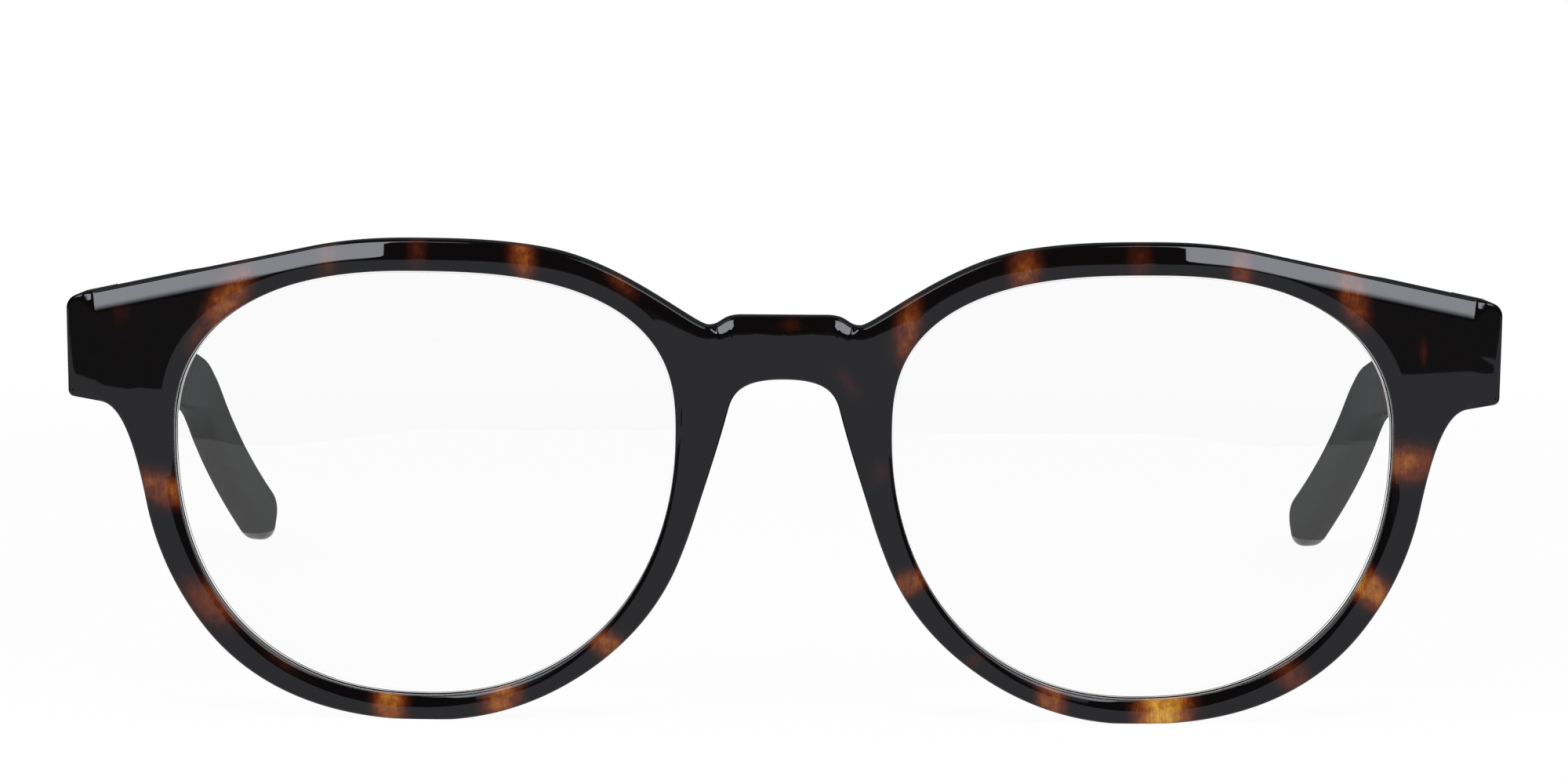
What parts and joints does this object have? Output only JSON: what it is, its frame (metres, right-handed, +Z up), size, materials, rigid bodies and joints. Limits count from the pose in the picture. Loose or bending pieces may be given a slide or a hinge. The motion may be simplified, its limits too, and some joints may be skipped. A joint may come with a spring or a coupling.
{
  "type": "round acetate spectacles",
  "caption": "Round tortoiseshell acetate spectacles with clear lenses, bonded nose pads and wire-cored temples that fold in on barrel hinges.",
  "frame": {"origin": "on the table, under the middle of the box round the open spectacles", "axes": "+X to the wearer's left, -Y out of the front of the lenses, +Z up, with the rims and the temple tips on the table"},
  "size_m": [0.1424, 0.1488, 0.0477],
  "materials": {
    "acetate": "polished dark tortoiseshell with amber patches",
    "lens": "clear and uncoated",
    "hinge_steel": "nickel plated",
    "core_steel": "drawn wire"
  },
  "bodies": {
    "front": {"front": "acetate", "lens_left": "lens", "lens_right": "lens", "nose_pad_left": "acetate", "nose_pad_right": "acetate", "front_hinge_leaf_left": "hinge_steel", "front_hinge_leaf_right": "hinge_steel", "hinge_screw_left": "hinge_steel", "hinge_screw_right": "hinge_steel"},
    "temple_left": {"temple_left": "acetate", "temple_hinge_leaf_left": "hinge_steel", "temple_core_left": "core_steel"},
    "temple_right": {"temple_right": "acetate", "temple_hinge_leaf_right": "hinge_steel", "temple_core_right": "core_steel"}
  },
  "joints": [
    {"name": "fold_left", "type": "hinge", "parent": "front", "child": "temple_left", "pos_m": [0.06509, -0.06498, 0.03702], "axis": [0, 0, 1], "range_deg": [0, 88]},
    {"name": "fold_right", "type": "hinge", "parent": "front", "child": "temple_right", "pos_m": [-0.06509, -0.06498, 0.03702], "axis": [0, 0, -1], "range_deg": [0, 80]}
  ]
}
